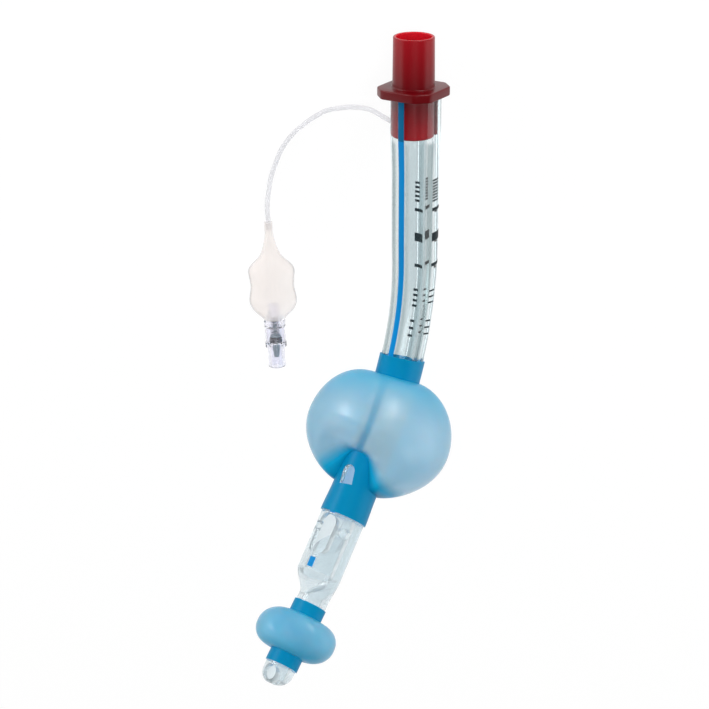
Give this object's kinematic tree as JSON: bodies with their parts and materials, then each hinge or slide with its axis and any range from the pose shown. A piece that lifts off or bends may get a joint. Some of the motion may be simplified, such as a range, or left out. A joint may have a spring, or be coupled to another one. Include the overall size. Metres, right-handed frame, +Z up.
{
  "type": "laryngeal tube",
  "caption": "Bent double-lumen airway tube with a large throat cuff, a small gullet cuff, a 15 mm connector, and an inflation line with a pilot balloon and check valve.",
  "frame": {"origin": "on the floor, below the middle of the box round the airway, without the inflation line and what is on it", "axes": "+Y towards the connector along the straight part of the tube, +Z up with the tube lying on its side; the tip bends up and towards -X"},
  "size_m": [0.0774, 0.2314, 0.08],
  "materials": {
    "connector_red": "moulded translucent dark red plastic, glossy",
    "shaft_clear": "clear extruded soft plastic with a blue stripe moulded in",
    "tip_clear": "clear moulded soft plastic, glossy",
    "cuff_blue": "thin soft blue film, frosted where it is blown up and deep blue at its sleeves",
    "line_clear": "thin clear soft plastic line",
    "pilot_film": "thin milky clear film",
    "valve_clear": "clear hard plastic",
    "plunger_grey": "grey moulded plastic",
    "seal_black": "black rubber",
    "spring_steel": "thin spring wire"
  },
  "bodies": {
    "tube": {"connector": "connector_red", "shaft": "shaft_clear", "tip_adapter": "tip_clear", "tip_tube": "tip_clear", "pharynx_cuff": "cuff_blue", "gullet_cuff": "cuff_blue", "inflation_line": "line_clear", "pilot_balloon": "pilot_film", "valve_housing": "valve_clear", "valve_luer": "valve_clear", "valve_spring": "spring_steel"},
    "plunger": {"valve_plunger": "plunger_grey", "valve_seal": "seal_black"}
  },
  "joints": [
    {"name": "valve_plunger_slide", "type": "slide", "parent": "tube", "child": "plunger", "axis": [-0.0436, 0.999, 0], "range_m": [0, 0.0012], "stiffness_N_per_m": 300, "springref_m": -0.001, "deforming": ["valve_spring"]}
  ]
}
